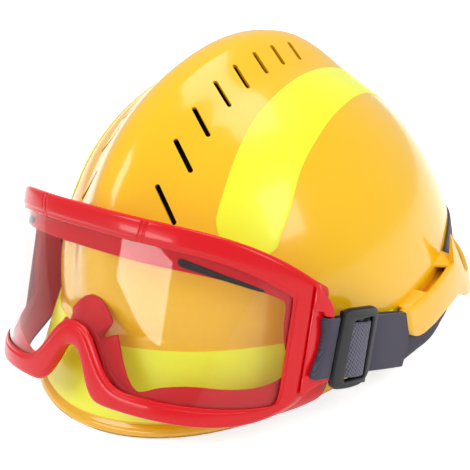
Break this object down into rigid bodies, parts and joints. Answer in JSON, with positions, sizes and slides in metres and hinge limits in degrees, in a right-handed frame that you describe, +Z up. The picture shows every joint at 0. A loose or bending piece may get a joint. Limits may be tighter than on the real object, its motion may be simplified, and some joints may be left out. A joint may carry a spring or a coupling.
{
  "type": "rescue helmet",
  "caption": "Rescue helmet with a vented crest, reflective bands, inner cradle with ratchet, chin strap and wide clear goggles on an elastic strap.",
  "frame": {"origin": "middle of the bounding box at the standing plane, under the front lip and the nape edge", "axes": "+Z up, -Y towards the front lip and goggles, +X towards the wearer's left"},
  "size_m": [0.2424, 0.3204, 0.1924],
  "materials": {
    "shell_yellow": "moulded, glossy, golden yellow",
    "guard_yellow": "moulded, satin yellow",
    "reflective_lime": "fluorescent reflective film",
    "steel": "plain",
    "liner_foam": "moulded bead foam",
    "webbing_black": "woven webbing",
    "pad_fabric": "padded knit",
    "black_plastic": "fine moulded texture",
    "red_control": "satin",
    "soft_black": "soft moulded",
    "goggle_red_gloss": "glossy",
    "goggle_red_soft": "soft satin",
    "lens_clear": "clear, polished",
    "face_foam": "open cell foam",
    "vent_black": "fine mesh",
    "elastic_grey": "knitted elastic",
    "glide_grey": "fine moulded texture"
  },
  "bodies": {
    "helmet": {"outer_shell": "shell_yellow", "brim_band": "reflective_lime", "reflective_band_left": "reflective_lime", "reflective_band_right": "reflective_lime", "rear_guard": "guard_yellow", "guard_screw_left": "steel", "guard_screw_right": "steel", "impact_liner": "liner_foam", "crown_strap_long": "webbing_black", "crown_strap_cross": "webbing_black", "crown_pad": "pad_fabric", "anchor_front": "black_plastic", "anchor_rear": "black_plastic", "anchor_left": "black_plastic", "anchor_right": "black_plastic", "headband": "black_plastic", "sweatband": "pad_fabric", "ratchet_housing": "black_plastic", "nape_pad": "pad_fabric", "rivet_left": "steel", "rivet_right": "steel", "clip_left": "goggle_red_gloss", "clip_right": "goggle_red_gloss", "strap_tail_left": "elastic_grey", "strap_tail_right": "elastic_grey", "goggle_strap": "elastic_grey"},
    "goggles": {"goggle_frame": "goggle_red_gloss", "goggle_lens": "lens_clear", "goggle_body": "goggle_red_soft", "goggle_foam": "face_foam", "vent_screen_left": "vent_black", "vent_screen_right": "vent_black", "pin_left": "steel", "pin_right": "steel"},
    "glide_left": {"tri_glide_left": "glide_grey"},
    "glide_right": {"tri_glide_right": "glide_grey"},
    "knob": {"ratchet_knob": "red_control"},
    "left_rack": {"rack_left": "black_plastic"},
    "right_rack": {"rack_right": "black_plastic"},
    "chin": {"chin_strap_left": "webbing_black", "chin_strap_right": "webbing_black", "chin_cup": "soft_black", "buckle_socket": "black_plastic"},
    "button": {"buckle_button": "red_control"}
  },
  "joints": [
    {"name": "goggle_tilt", "type": "hinge", "parent": "helmet", "child": "goggles", "pos_m": [0, -0.08255, 0.05158], "axis": [1, 0, 0], "range_deg": [0, 8]},
    {"name": "glide_left_slide", "type": "slide", "parent": "helmet", "child": "glide_left", "axis": [0, 0.9489, -0.3156], "range_m": [-0.002, 0.012]},
    {"name": "glide_right_slide", "type": "slide", "parent": "helmet", "child": "glide_right", "axis": [0, 0.9489, -0.3156], "range_m": [-0.002, 0.012]},
    {"name": "knob_turn", "type": "hinge", "parent": "helmet", "child": "knob", "pos_m": [0, 0.10468, 0.03934], "axis": [0, -0.9848, -0.1736], "range_deg": [0, 45]},
    {"name": "rack_left_slide", "type": "slide", "parent": "helmet", "child": "left_rack", "axis": [-1, 0, 0], "range_m": [0, 0.004]},
    {"name": "rack_right_slide", "type": "slide", "parent": "helmet", "child": "right_rack", "axis": [1, 0, 0], "range_m": [0, 0.004]},
    {"name": "chin_swing", "type": "hinge", "parent": "helmet", "child": "chin", "pos_m": [0, 0.01767, 0.02603], "axis": [1, 0, 0], "range_deg": [0, 70]},
    {"name": "button_press", "type": "slide", "parent": "chin", "child": "button", "axis": [-0.809, 0.5789, 0.1021], "range_m": [0, 0.001], "stiffness_N_per_m": 150}
  ],
  "couplings": [
    {"joint": "rack_left_slide", "follows": "knob_turn", "m_per_rad": 0.005},
    {"joint": "rack_right_slide", "follows": "knob_turn", "m_per_rad": 0.005}
  ]
}
